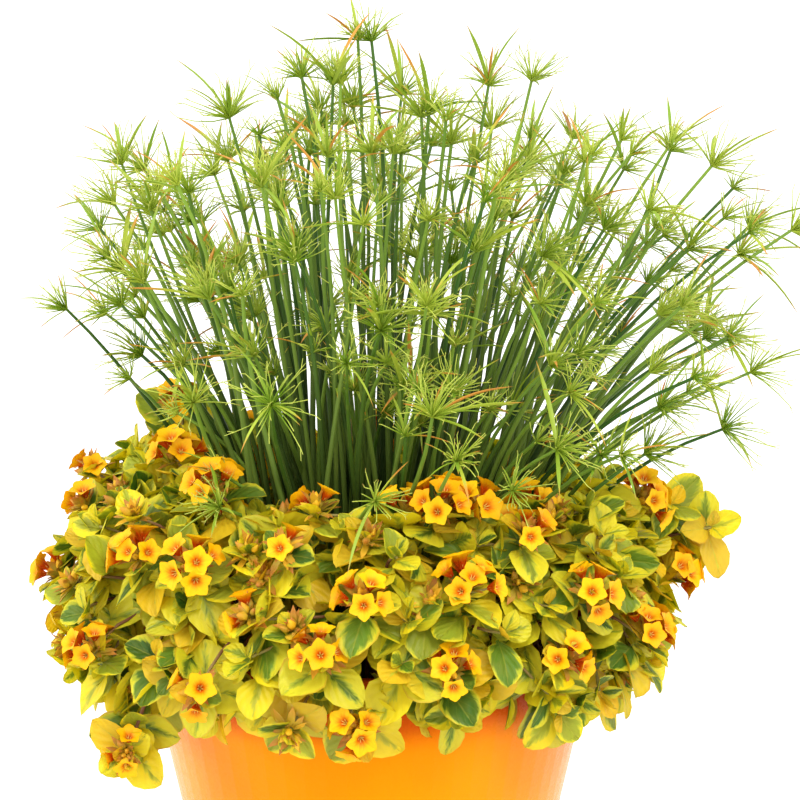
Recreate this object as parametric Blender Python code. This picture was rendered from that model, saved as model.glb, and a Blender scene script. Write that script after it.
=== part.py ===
"""Dwarf papyrus in a round tapered pot, with trailing yellow loosestrife planted round its foot.

The origin is the centre of the pot's flat base, +Z is up, and -Y is the side seen from the front.
Every piece is one closed solid. The papyrus is one solid for each outer culm, with its umbel, and
one for each tuft of the crowded culms in the middle. The loosestrife is one solid for each plant,
and one for each long shoot that stands clear of it.
"""

import math

import bmesh
import bpy
from mathutils import Vector
from mathutils.bvhtree import BVHTree

# Pot and soil
POT_HEIGHT = 0.260
RIM_RADIUS = 0.157
BASE_RADIUS = 0.099
POT_WALL = 0.0045
BASE_ROUNDING = 0.004
POT_SIDES = 64
SOIL_BELOW_RIM = 0.025
SOIL_SIDES = 32
GAP = 0.0006  # left between pieces that lie against each other

# Papyrus culms: three-cornered rods that carry a mop of rays and a few longer bracts
CULM_SIDES = 6
CULM_FOOT_RADIUS = 0.0026
CULM_TOP_RADIUS = 0.0018
CULM_STATIONS = 6
INNER_REACH = 0.070  # a culm that reaches less than this rises inside the ring of tufts
INNER_FOOT_SHARE = 0.2  # an inner culm's foot from the axis, as a share of its umbel's reach
OUTER_FOOT = 0.043  # nearest to the axis that an outer culm's foot stands
OUTER_FOOT_SHARE = 0.12  # and the share of any further reach that it takes up
EARLY_LEAN = 0.24  # share of its lean that a culm's control point has taken up
EARLY_RISE_TALL = 0.62  # share of its rise that the control point of the tallest culm has taken up
EARLY_RISE_LOW = 0.95  # and that of a culm with no height: low culms rise first and lean over late
TALLEST = 0.425
RAY_LENGTH = 0.034
BRACT_LENGTH = 0.052
RAY_POLARS = (80, 45, 15)  # degrees from the culm's line, from the lowest rays to the middle ones
BRACT_CORNERS = ((0, 2), (1, 4), (0, 3, 4))
CLEARANCE = 0.0007  # kept between two culms
DEPTH_STEP = 0.005  # a culm that finds no room is moved to the front or back by steps of this
MOST_DEPTH_STEPS = 16
SMALLER_UMBELS = (1.0, 0.85, 0.7)
SHRINK_COST = 0.12  # metres of moving that are as bad as having no umbel at all

# Tufts of culms in the middle of the clump: narrow sheaves of culms under a head of umbels
TUFT_COUNT = 6
TUFT_SIDES = 12
TUFT_FOOT = 0.027  # distance from the axis
TUFT_TOP = 0.070
TUFT_OUTLINE = (  # share of the height, and radius
    (0, 0.0095),
    (0.35, 0.0115),
    (0.70, 0.0165),
    (0.86, 0.0300),
    (0.95, 0.0270),
    (1, 0.0120),
)
TUFT_HEIGHTS = (0.270, 0.292, 0.262, 0.284, 0.300, 0.276)  # above the rim

# Loosestrife plants round the papyrus
PLANT_COUNT = 6
PLANT_STATIONS = 7
VALLEY_SHARE = 0.72  # height of a plant where it meets its neighbour, as a share of its crest
FULL_SIDE = math.radians(165)  # the bearing where the ring of plants is fullest, on the left
FULLER_HEIGHT = 0.18  # how much higher it stands there
FULLER_REACH = 0.06  # and how much further it reaches out
FRONT_HANG = 0.55  # how far the front hangs below the rim, as a share of what the sides do
SHOOT_SIDES = 8
SHOOT_RADIUS = 0.0016
SHOOT_POLARS = (95, 55, 20)

# Umbel hubs of the outer culms, in millimetres: to the right, to the back, and above the rim.
UMBEL_HUBS = (
    # tall culms of the middle
    (1, -2, 399), (-19, -39, 372), (21, 44, 362), (34, -37, 350), (-34, 32, 352),
    (-92, -44, 350), (-62, 126, 322), (110, 44, 371), (84, 82, 336), (2, -101, 330),
    # left side, from the front round to the back
    (-60, -172, 178), (-112, -118, 172), (-145, -92, 246), (-116, -89, 304), (-202, -30, 222),
    (-168, -39, 292), (-156, 11, 186), (-188, 60, 268), (-146, 84, 262), (-96, 160, 236),
    # front
    (8, -152, 222), (40, -184, 172), (-46, -127, 268), (68, -134, 270), (116, -124, 196),
    # right side, from the front round to the back
    (180, -78, 132), (151, -90, 280), (189, -61, 222), (234, -48, 144), (142, -30, 320),
    (212, -28, 262), (240, -15, 200), (172, 22, 312), (284, 3, 272), (262, 59, 270),
    (204, 78, 262), (214, 128, 206), (132, 91, 296), (112, 172, 216), (10, 190, 250),
)

# Long loosestrife shoots: a point inside the plant that each grows from and the place of its leafy
# head, in millimetres to the right, to the back and above the rim, and the radius of the head.
LONG_SHOOTS = (
    ((-138, -116, -10), (-160, -136, -64), 26),
    ((160, 20, 50), (238, 12, 70), 26),
    ((-120, 50, 60), (-134, 54, 148), 22),
)
STEM_CLEARANCE = 0.0035  # along a shoot, so that its slanting end clears the plant


def clear_scene():
    for obj in list(bpy.data.objects):
        bpy.data.objects.remove(obj)


def material(name, colour, roughness, metallic=0.0):
    made = bpy.data.materials.new(name)
    made.use_nodes = True
    shader = made.node_tree.nodes["Principled BSDF"]
    shader.inputs["Base Color"].default_value = (*colour, 1.0)
    shader.inputs["Roughness"].default_value = roughness
    shader.inputs["Metallic"].default_value = metallic
    return made


def add_object(name, shape, finish):
    """Turns a bmesh into a named, smooth-shaded object with one material."""
    bmesh.ops.recalc_face_normals(shape, faces=shape.faces)
    mesh = bpy.data.meshes.new(name)
    shape.to_mesh(mesh)
    shape.free()
    mesh.shade_smooth()
    mesh.set_sharp_from_angle(angle=math.radians(40))
    mesh.materials.append(finish)
    obj = bpy.data.objects.new(name, mesh)
    bpy.context.scene.collection.objects.link(obj)
    return obj


def turned(profile, sides):
    """A solid of revolution about Z from (radius, height) points that start and end on the axis."""
    shape = bmesh.new()
    points = [shape.verts.new((radius, 0, height)) for radius, height in profile]
    edges = [shape.edges.new(pair) for pair in zip(points, points[1:])]
    bmesh.ops.spin(
        shape,
        geom=points + edges,
        cent=(0, 0, 0),
        axis=(0, 0, 1),
        angle=math.tau,
        steps=sides,
        use_merge=True,
    )
    bmesh.ops.remove_doubles(shape, verts=shape.verts, dist=1e-6)
    return shape


def lofted(rings):
    """A closed solid through rings that have the same number of points, capped at both ends."""
    shape = bmesh.new()
    rows = [[shape.verts.new(point) for point in ring] for ring in rings]
    for lower, upper in zip(rows, rows[1:]):
        for i, corner in enumerate(lower):
            after = (i + 1) % len(lower)
            shape.faces.new((corner, lower[after], upper[after], upper[i]))
    shape.faces.new(rows[0][::-1])
    shape.faces.new(rows[-1])
    shape.normal_update()
    bmesh.ops.triangulate(shape, faces=shape.faces[:], ngon_method="EAR_CLIP")
    return shape


def ring(centre, across, along, radius, sides, twist=0.0):
    """Points round centre in the plane of two unit vectors."""
    angles = [twist + math.tau * i / sides for i in range(sides)]
    return [centre + radius * (math.cos(a) * across + math.sin(a) * along) for a in angles]


def square_to(direction):
    """Two unit vectors square to a direction and to each other."""
    helper = Vector((0, 0, 1)) if abs(direction.z) < 0.9 else Vector((0, 1, 0))
    across = helper.cross(direction).normalized()
    return across, direction.cross(across)


def wall_radius(height):
    """The pot's outer radius at a height above its base."""
    return BASE_RADIUS + (RIM_RADIUS - BASE_RADIUS) * height / POT_HEIGHT


def soil_height():
    return POT_HEIGHT - SOIL_BELOW_RIM


# --- pot and soil -----------------------------------------------------------------------------


def make_pot(finish):
    lip = POT_WALL / 2
    lip_arc = [
        (RIM_RADIUS - lip + lip * math.cos(a), POT_HEIGHT - lip + lip * math.sin(a))
        for a in (math.pi * i / 4 for i in range(5))
    ]
    inner_floor = BASE_RADIUS - POT_WALL
    profile = [
        (0, 0),
        (BASE_RADIUS - BASE_ROUNDING, 0),
        (BASE_RADIUS - 0.3 * BASE_ROUNDING, 0.3 * BASE_ROUNDING),
        (wall_radius(BASE_ROUNDING), BASE_ROUNDING),
        *lip_arc,
        (inner_floor + BASE_ROUNDING * 0.4, POT_WALL + BASE_ROUNDING),
        (inner_floor - BASE_ROUNDING, POT_WALL),
        (0, POT_WALL),
    ]
    return add_object("pot", turned(profile, POT_SIDES), finish)


def make_soil(finish):
    floor = POT_WALL + GAP
    top = soil_height()
    profile = [
        (0, floor),
        (BASE_RADIUS - POT_WALL - BASE_ROUNDING - 3 * GAP, floor),
        (wall_radius(floor + BASE_ROUNDING) - POT_WALL - 5 * GAP, floor + BASE_ROUNDING),
        (wall_radius(top) - POT_WALL - 3 * GAP, top),
        (0, top),
    ]
    return add_object("potting_soil", turned(profile, SOIL_SIDES), finish)


# --- loosestrife ------------------------------------------------------------------------------


def plant_profile(share, bearing):
    """(radius, height above rim) points of a plant's cross-section in millimetres.

    share is 1 at the middle of the plant and 0 where it meets its neighbour. The outline runs from
    the soil up and over the crest, out past the rim, down outside the pot, and back over the lip.
    """
    fuller = max(0.0, math.cos(bearing - FULL_SIDE))
    front = max(0.0, -math.sin(bearing))
    rise = (VALLEY_SHARE + (1 - VALLEY_SHARE) * share) * (1 + FULLER_HEIGHT * fuller)
    hang = (0.55 + 0.45 * share) * (1 - (1 - FRONT_HANG) * front)
    reach = 1 + FULLER_REACH * fuller
    soil = -1000 * (SOIL_BELOW_RIM - GAP)
    low = -52 * hang
    outside = 1000 * (wall_radius(POT_HEIGHT + low / 1000) + 2 * GAP)
    inside = 1000 * (wall_radius(soil_height()) - POT_WALL - 3 * GAP)
    lip = 1000 * 3 * GAP
    return [
        (86, soil),
        (100, 36 * rise),
        (116, 78 * rise),
        (138, 102 * rise),
        (170, 88 * rise),
        (196 * reach, 52 * rise),
        (212 * reach, 8),
        (206 * reach, -34 * hang),
        (182, -62 * hang),
        (outside, low),
        (1000 * RIM_RADIUS + lip, -2),
        (1000 * RIM_RADIUS, lip),
        (1000 * (RIM_RADIUS - POT_WALL), lip),
        (inside, soil + 1),
    ]


def make_loosestrife_plant(number, finish):
    """One plant: a sixth of the ring, fullest in the middle, with soft lumps where its shoots end."""
    width = math.tau / PLANT_COUNT
    middle = (number - 0.5) * width
    half = width / 2 - GAP / 0.1
    rings = []
    for i in range(PLANT_STATIONS):
        across = 2 * i / (PLANT_STATIONS - 1) - 1
        angle = middle + half * across
        share = math.cos(across * math.pi / 2)
        ring_points = []
        for j, (radius, height) in enumerate(plant_profile(share, angle)):
            lump = 4 * math.sin(2.1 * j + 1.7 * i + number) if 2 < j < 8 else 0
            reach = (radius + lump) / 1000
            level = POT_HEIGHT + height / 1000
            ring_points.append(Vector((reach * math.cos(angle), reach * math.sin(angle), level)))
        rings.append(ring_points)
    return add_object(f"loosestrife_plant_{number}", lofted(rings), finish)


def make_long_shoot(number, anchor, head, head_radius, plants, finish):
    """A shoot's stem, from the surface of its plant, and one rounded head that reaches its tips."""
    inside = Vector(anchor) / 1000 + Vector((0, 0, POT_HEIGHT))
    end = Vector(head) / 1000 + Vector((0, 0, POT_HEIGHT))
    direction = (end - inside).normalized()
    hits = [plant.ray_cast(end, -direction)[3] for plant in plants]
    start = end - direction * (min(hit for hit in hits if hit) - STEM_CLEARANCE)
    across, along = square_to(direction)
    rings = [ring(start, across, along, SHOOT_RADIUS, SHOOT_SIDES)]
    rings.append(ring(end - 0.25 * (end - start), across, along, SHOOT_RADIUS, SHOOT_SIDES))
    for polar in SHOOT_POLARS:
        level = end + direction * head_radius / 1000 * math.cos(math.radians(polar))
        radius = head_radius / 1000 * math.sin(math.radians(polar))
        rings.append(ring(level, across, along, radius, SHOOT_SIDES))
    return add_object(f"loosestrife_shoot_{number}", lofted(rings), finish)


# --- papyrus ----------------------------------------------------------------------------------


def make_tuft(number, height, finish):
    """The crowded culms of one part of the clump, as one solid that reaches their umbels' tips."""
    angle = math.tau * (number - 1) / TUFT_COUNT
    outward = Vector((math.cos(angle), math.sin(angle), 0))
    side = Vector((0, 0, 1)).cross(outward)
    foot = soil_height() + GAP
    top = POT_HEIGHT + height
    rings = []
    for share, radius in TUFT_OUTLINE:
        centre = outward * (TUFT_FOOT + (TUFT_TOP - TUFT_FOOT) * share**1.25)
        centre.z = foot + (top - foot) * share
        rings.append(ring(centre, outward, side, radius, TUFT_SIDES, twist=share))
    return add_object(f"papyrus_inner_tuft_{number}", lofted(rings), finish)


def culm_path(hub):
    """Points and directions along a culm from the soil to its umbel's hub."""
    reach = math.hypot(hub.x, hub.y)
    foot_reach = INNER_FOOT_SHARE * reach
    if reach > INNER_REACH:
        foot_reach = OUTER_FOOT + OUTER_FOOT_SHARE * (reach - INNER_REACH)
    outward = Vector((hub.x, hub.y, 0)) / max(reach, 1e-6)
    foot = outward * foot_reach
    foot.z = soil_height() + GAP
    lean = hub - foot
    early_rise = EARLY_RISE_LOW + (EARLY_RISE_TALL - EARLY_RISE_LOW) * lean.z / TALLEST
    control = foot + Vector((lean.x * EARLY_LEAN, lean.y * EARLY_LEAN, lean.z * early_rise))
    path = [(foot, Vector((0, 0, 1)))]  # its end lies flat on the soil
    for i in range(1, CULM_STATIONS):
        t = i / (CULM_STATIONS - 1)
        point = foot * (1 - t) ** 2 + control * 2 * t * (1 - t) + hub * t**2
        direction = (control - foot) * (1 - t) + (hub - control) * t
        path.append((point, direction.normalized()))
    return path


def culm_shape(hub, twist, size, bracts, spare=0.0):
    """A culm and its umbel as one solid. The corners named in bracts reach out to a bract's tip."""
    path = culm_path(hub)
    across, along = square_to(path[0][1])
    rings = []
    for i, (point, direction) in enumerate(path):
        across = (across - direction * across.dot(direction)).normalized()
        along = direction.cross(across)
        share = i / (CULM_STATIONS - 1)
        radius = CULM_FOOT_RADIUS + (CULM_TOP_RADIUS - CULM_FOOT_RADIUS) * share + spare
        rings.append(ring(point, across, along, radius, CULM_SIDES, twist))
    for polar in RAY_POLARS:
        level, out = math.cos(math.radians(polar)), math.sin(math.radians(polar))
        row = []
        for corner in range(CULM_SIDES):
            angle = twist + math.tau * corner / CULM_SIDES
            is_bract = corner in bracts and polar == RAY_POLARS[0]
            length = size * (BRACT_LENGTH if is_bract else RAY_LENGTH) + spare
            spoke = math.cos(angle) * across + math.sin(angle) * along
            drop = spare if polar == RAY_POLARS[0] else 0
            row.append(hub + length * out * spoke + (length * level - drop) * path[-1][1])
        rings.append(row)
    return lofted(rings)


def tree_of(shape):
    tree = BVHTree.FromBMesh(shape)
    shape.free()
    return tree


def tree_of_object(obj):
    shape = bmesh.new()
    shape.from_mesh(obj.data)
    return tree_of(shape)


def places_to_try():
    """(depth, size) pairs from the least to the most change: how far back, and how large an umbel."""
    depths = [DEPTH_STEP * i for i in range(-MOST_DEPTH_STEPS, MOST_DEPTH_STEPS + 1)]
    pairs = [(depth, size) for depth in depths for size in SMALLER_UMBELS]
    return sorted(pairs, key=lambda pair: abs(pair[0]) + SHRINK_COST * (1 - pair[1]))


def place_culm(number, hub_mm, standing, finish):
    """Stands a culm where its umbel is wanted, or as little to the front or back as clears the rest."""
    wanted = Vector(hub_mm) / 1000 + Vector((0, 0, POT_HEIGHT))
    bracts = BRACT_CORNERS[number % len(BRACT_CORNERS)]
    golden = number * math.pi * (3 - math.sqrt(5))
    for depth, size in places_to_try():
        hub = wanted + Vector((0, depth, 0))
        for twist in (golden, golden + 0.35, golden + 0.7):
            fat = tree_of(culm_shape(hub, twist, size, bracts, spare=CLEARANCE))
            if not any(fat.overlap(other) for other in standing):
                standing.append(tree_of(culm_shape(hub, twist, size, bracts)))
                return add_object(f"papyrus_culm_{number:02d}", culm_shape(hub, twist, size, bracts), finish)
    raise ValueError(f"culm {number} at {hub_mm} finds no room")


def main():
    clear_scene()
    orange = material("orange_glaze", (0.93, 0.30, 0.02), 0.25)
    earth = material("potting_mix", (0.045, 0.028, 0.018), 0.9)
    culm_green = material("culm_green", (0.10, 0.26, 0.04), 0.5)
    leaf_gold = material("leaf_gold", (0.50, 0.52, 0.04), 0.55)

    make_pot(orange)
    make_soil(earth)
    plants = []
    for number in range(1, PLANT_COUNT + 1):
        plants.append(tree_of_object(make_loosestrife_plant(number, leaf_gold)))
    standing = list(plants)
    for number, (anchor, head, radius) in enumerate(LONG_SHOOTS, 1):
        shoot = make_long_shoot(number, anchor, head, radius, plants, leaf_gold)
        standing.append(tree_of_object(shoot))
    for number, height in enumerate(TUFT_HEIGHTS, 1):
        standing.append(tree_of_object(make_tuft(number, height, culm_green)))
    for number, hub in enumerate(UMBEL_HUBS, 1):
        place_culm(number, hub, standing, culm_green)


main()
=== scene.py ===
"""Looks of the potted dwarf papyrus with yellow loosestrife planted round its foot.

Some sizes are worked out from the pot and the planting in the frame, and the rest are given. Points with
attributes say where each stem, leaf, ray and flower goes, and Geometry Nodes trees put the shapes on them.
"""

import math

import bpy
import numpy as np
from mathutils import Euler, Matrix, Vector, noise


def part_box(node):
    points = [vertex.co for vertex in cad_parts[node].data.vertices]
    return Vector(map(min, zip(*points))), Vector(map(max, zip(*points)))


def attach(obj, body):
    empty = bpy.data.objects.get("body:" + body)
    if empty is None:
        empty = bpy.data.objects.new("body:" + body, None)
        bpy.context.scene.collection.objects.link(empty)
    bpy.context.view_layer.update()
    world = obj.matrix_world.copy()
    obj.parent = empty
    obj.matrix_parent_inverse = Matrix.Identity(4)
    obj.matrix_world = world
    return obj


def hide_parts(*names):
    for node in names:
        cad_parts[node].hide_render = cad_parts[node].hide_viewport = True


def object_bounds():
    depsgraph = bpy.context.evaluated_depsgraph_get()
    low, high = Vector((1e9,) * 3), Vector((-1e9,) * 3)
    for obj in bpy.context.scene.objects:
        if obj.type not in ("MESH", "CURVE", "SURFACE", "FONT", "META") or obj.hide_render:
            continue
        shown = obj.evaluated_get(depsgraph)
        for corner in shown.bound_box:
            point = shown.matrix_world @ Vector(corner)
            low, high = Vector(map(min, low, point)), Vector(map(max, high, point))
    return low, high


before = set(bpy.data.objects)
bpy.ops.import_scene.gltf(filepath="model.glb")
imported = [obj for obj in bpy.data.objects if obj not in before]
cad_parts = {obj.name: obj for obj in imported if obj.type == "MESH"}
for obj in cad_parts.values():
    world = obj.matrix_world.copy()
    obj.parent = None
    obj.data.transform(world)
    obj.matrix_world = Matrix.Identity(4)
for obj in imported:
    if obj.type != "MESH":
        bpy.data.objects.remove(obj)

cad_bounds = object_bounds()
rng = np.random.default_rng(11)

# --- sizes from the frame -------------------------------------------------------------------------

RIM_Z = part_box("pot")[1].z
RIM_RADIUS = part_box("pot")[1].x
SOIL_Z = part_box("potting_soil")[1].z
SOIL_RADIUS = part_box("potting_soil")[1].x
CULMS = sorted(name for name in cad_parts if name.startswith("papyrus_culm"))
TUFTS = sorted(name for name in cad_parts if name.startswith("papyrus_inner_tuft"))
PLANTS = sorted(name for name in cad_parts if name.startswith("loosestrife_plant"))
SHOOTS = sorted(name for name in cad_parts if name.startswith("loosestrife_shoot"))
MOUND_RADIUS = max(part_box(name)[1].x for name in PLANTS)
MOUND_TOP = max(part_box(name)[1].z for name in PLANTS) - RIM_Z
MOUND_HANG = RIM_Z - min(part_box(name)[0].z for name in PLANTS)
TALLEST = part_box(CULMS[0])[1].z - RIM_Z

# Papyrus
INNER_CULMS = 228
CULM_SIDES = 7
CULM_STATIONS = 11
CULM_FOOT = 0.0024
CULM_TOP = 0.0011
CROWN_RADIUS = 0.060
FOOT_SCATTER = 0.011
BEND_SCATTER = 0.012
WOBBLE = 0.0030
INNER_REACH = 0.205
INNER_RIGHT = 0.02  # how far right of the pot's axis the crowded culms are centred
RAYS = 35
RAY_LENGTH = 0.029
RAY_RADIUS = 0.00054
BRACT_LENGTH = 0.056
BRACT_ROOM = 0.006  # how far past the solid planting a bract may point, before it bends
GOLDEN_SHARE = 3 - math.sqrt(5)  # the golden angle, as a share of half a turn

# Loosestrife
LEAF_LENGTH = 0.0335
LEAF_SHARE = 0.84  # width over length
SHOOT_COUNT = 290
INNER_LEAVES = 800
PETAL_LENGTH = 0.0132
SEPAL_COUNT = 22
HEAD_TURN = 2.4  # radians round a head from one flower, sepal or bud to the next
HEAD_SPACING = 0.022  # the least distance from a placed head to a shoot spread by rule
BUDDING_SHARE = 0.22  # of the shoots without flowers, those with a star of sepals and buds
STEM_FOOT = 0.0014
STEM_TOP = 0.0010
STEM_STATIONS = 9
LONG_STEM = 0.0012
MOUND_LEVEL = 0.016  # height above the rim at which the mound is widest
LEAF_ROOM = 0.016  # room kept above the mound for its top leaves
LUMP_HEIGHT = 0.012
SPREAD_STEPS = (0.7548777, 0.5698403)  # steps of an even spread in two directions

# Stage and camera
FLOOR_RADIUS = 0.52
FLOOR_COLOUR = (0.92, 0.92, 0.92, 1)
SKY_STRENGTH = 1.5
LAMPS = (("key", (0.6, -1.5, 1.8), 22), ("fill", (-1.6, -0.5, 1.1), 12))  # name, place, watts
LAMP_SIZE = 0.8
LAMP_AIM = (0, 0, 0.35)
CAMERA_ELEVATION = 8
CAMERA_DISTANCE = 2.0
VIEW_WIDTH = 0.544
VIEW_RIGHT = 0.020
VIEW_ABOVE_RIM = 0.157

# Umbel hubs of the outer culms, in millimetres: to the right, to the back, and above the rim.
# They are the solid culms' hubs, whose depths keep the culms clear of one another.
UMBEL_HUBS = (
    # tall culms of the middle
    (1, -2, 399), (-19, -39, 372), (21, 44, 362), (34, -37, 350), (-34, 32, 352),
    (-92, -44, 350), (-62, 126, 322), (110, 44, 371), (84, 82, 336), (2, -101, 330),
    # left side, from the front round to the back
    (-60, -172, 178), (-112, -118, 172), (-145, -92, 246), (-116, -89, 304), (-202, -30, 222),
    (-168, -39, 292), (-156, 11, 186), (-188, 60, 268), (-146, 84, 262), (-96, 160, 236),
    # front
    (8, -152, 222), (40, -184, 172), (-46, -127, 268), (68, -134, 270), (116, -124, 196),
    # right side, from the front round to the back
    (180, -78, 132), (151, -90, 280), (189, -61, 222), (234, -48, 144), (142, -30, 320),
    (212, -28, 262), (240, -15, 200), (172, 22, 312), (284, 3, 272), (262, 59, 270),
    (204, 78, 262), (214, 128, 206), (132, 91, 296), (112, 172, 216), (10, 190, 250),
)


# --- geometry node trees --------------------------------------------------------------------------


class Tree:
    """A Geometry Nodes tree being built: adds nodes, links them and names the modifier's inputs."""

    def __init__(self, name, inputs):
        self.group = bpy.data.node_groups.new(name, "GeometryNodeTree")
        sockets = self.group.interface
        sockets.new_socket("Geometry", in_out="INPUT", socket_type="NodeSocketGeometry")
        for label, kind in inputs:
            sockets.new_socket(label, in_out="INPUT", socket_type=kind)
        sockets.new_socket("Geometry", in_out="OUTPUT", socket_type="NodeSocketGeometry")
        self.start = self.group.nodes.new("NodeGroupInput").outputs
        self.end = self.group.nodes.new("NodeGroupOutput").inputs

    def add(self, kind, settings=None, **inputs):
        """Adds a node. An input is a value or the output socket that feeds it; _ stands for a space."""
        node = self.group.nodes.new(kind)
        for key, value in (settings or {}).items():
            setattr(node, key, value)
        for key, value in inputs.items():
            socket = node.inputs[key.replace("_", " ")]
            if isinstance(value, bpy.types.NodeSocket):
                self.group.links.new(value, socket)
            else:
                socket.default_value = value
        return node.outputs[0]

    def attribute(self, name, kind):
        """An attribute of the mesh that the tree is given."""
        node = self.group.nodes.new("GeometryNodeInputNamedAttribute")
        node.data_type = kind
        node.inputs["Name"].default_value = name
        return node.outputs["Attribute"]

    def finish(self, geometry):
        """Ends the tree with realized instances, smooth shading and the material."""
        real = self.add("GeometryNodeRealizeInstances", Geometry=geometry)
        smooth = self.add("GeometryNodeSetShadeSmooth", Geometry=real)
        painted = self.add("GeometryNodeSetMaterial", Geometry=smooth, Material=self.start["Material"])
        self.group.links.new(painted, self.end[0])
        return self.group


def rod_tree():
    """Turns each line of joined edges into a closed rod, as thick at each point as its radius says."""
    tree = Tree("rods_along_lines", (("Sides", "NodeSocketInt"), ("Material", "NodeSocketMaterial")))
    lines = tree.add("GeometryNodeMeshToCurve", Mesh=tree.start["Geometry"])
    thick = tree.attribute("thickness", "FLOAT")
    section = tree.add("GeometryNodeCurvePrimitiveCircle", Resolution=tree.start["Sides"], Radius=1.0)
    rods = tree.add(
        "GeometryNodeCurveToMesh", Curve=lines, Profile_Curve=section, Scale=thick, Fill_Caps=True
    )
    return tree.finish(rods)


def scatter_tree():
    """Puts a shape on each point, turned and sized by the point's own attributes."""
    tree = Tree("shapes_on_points", (("Shape", "NodeSocketObject"), ("Material", "NodeSocketMaterial")))
    shape = tree.group.nodes.new("GeometryNodeObjectInfo")
    tree.group.links.new(tree.start["Shape"], shape.inputs["Object"])
    copies = tree.add(
        "GeometryNodeInstanceOnPoints",
        Points=tree.start["Geometry"],
        Instance=shape.outputs["Geometry"],
        Rotation=tree.attribute("turn", "FLOAT_VECTOR"),
        Scale=tree.attribute("size", "FLOAT_VECTOR"),
    )
    return tree.finish(copies)


def set_inputs(modifier, values):
    """Sets a modifier's inputs by the names that its tree gives them."""
    for item in modifier.node_group.interface.items_tree:
        if item.in_out == "INPUT" and item.name in values:
            modifier[item.identifier] = values[item.name]


def add_attribute(mesh, name, kind, values):
    """Stores one value for each point of a mesh."""
    attribute = mesh.attributes.new(name, kind, "POINT")
    field = "vector" if kind == "FLOAT_VECTOR" else "value"
    attribute.data.foreach_set(field, np.asarray(values, np.float32).ravel())


def run_tree(name, mesh, tree, values):
    """A plain mesh object: what the tree makes of the mesh."""
    carrier = bpy.data.objects.new(name + "_points", mesh)
    bpy.context.scene.collection.objects.link(carrier)
    modifier = carrier.modifiers.new("nodes", "NODES")
    modifier.node_group = tree
    set_inputs(modifier, values)
    graph = bpy.context.evaluated_depsgraph_get()
    made = bpy.data.meshes.new_from_object(carrier.evaluated_get(graph), depsgraph=graph)
    made.name = name
    bpy.data.objects.remove(carrier)
    piece = bpy.data.objects.new(name, made)
    bpy.context.scene.collection.objects.link(piece)
    return piece


def rods(name, lines, sides, material):
    """Lines are (points, radii, tone, (first, last)) each: "along" runs from first to last on it."""
    points, edges, radii, tones, along = [], [], [], [], []
    for line, thickness, tone, span in lines:
        first = len(points)
        points.extend(line)
        edges.extend((first + i, first + i + 1) for i in range(len(line) - 1))
        radii.extend(thickness)
        tones.extend([tone] * len(line))
        along.extend(np.linspace(*span, len(line)))
    mesh = bpy.data.meshes.new(name + "_lines")
    mesh.from_pydata(points, edges, [])
    add_attribute(mesh, "thickness", "FLOAT", radii)
    add_attribute(mesh, "tone", "FLOAT", tones)
    add_attribute(mesh, "along", "FLOAT", along)
    return run_tree(name, mesh, ROD_TREE, {"Sides": sides, "Material": material})


def scattered(name, places, shape, material):
    """Places are (point, rotation matrix, size, tone) each."""
    mesh = bpy.data.meshes.new(name + "_places")
    mesh.from_pydata([place[0] for place in places], [], [])
    add_attribute(mesh, "turn", "FLOAT_VECTOR", [tuple(place[1].to_euler()) for place in places])
    add_attribute(mesh, "size", "FLOAT_VECTOR", [place[2] for place in places])
    add_attribute(mesh, "tone", "FLOAT", [place[3] for place in places])
    return run_tree(name, mesh, SCATTER_TREE, {"Shape": shape, "Material": material})


def joined(name, parts):
    """One piece from several."""
    with bpy.context.temp_override(active_object=parts[0], selected_editable_objects=parts):
        bpy.ops.object.join()
    parts[0].name = name
    parts[0].data.name = name
    return parts[0]


def shape_of(name, parts):
    """A shape for the scatter tree, joined from loose parts and kept out of the scene."""
    for part in parts:
        bpy.context.scene.collection.objects.link(part)
    shape = joined(name, parts)
    bpy.context.scene.collection.objects.unlink(shape)
    return shape


# --- placing helpers ------------------------------------------------------------------------------


def direction(azimuth, polar, axis=Vector((0, 0, 1))):
    """A unit vector at an angle from an axis, turned round it."""
    level, out = math.cos(polar), math.sin(polar)
    local = Vector((math.cos(azimuth) * out, math.sin(azimuth) * out, level))
    return axis.to_track_quat("Z", "Y") @ local


def facing(along, up):
    """A rotation that lays a shape's X along one direction and its Z near another."""
    x = along.normalized()
    y = up.cross(x)
    if y.length < 1e-4:
        y = x.orthogonal()
    y.normalize()
    return Matrix((x, y, x.cross(y))).transposed()


def jitter(amount):
    """A small random rotation, in degrees."""
    angles = np.radians(rng.normal(0, amount, 3))
    return Euler(angles).to_matrix()


# --- thin closed shapes ---------------------------------------------------------------------------


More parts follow.
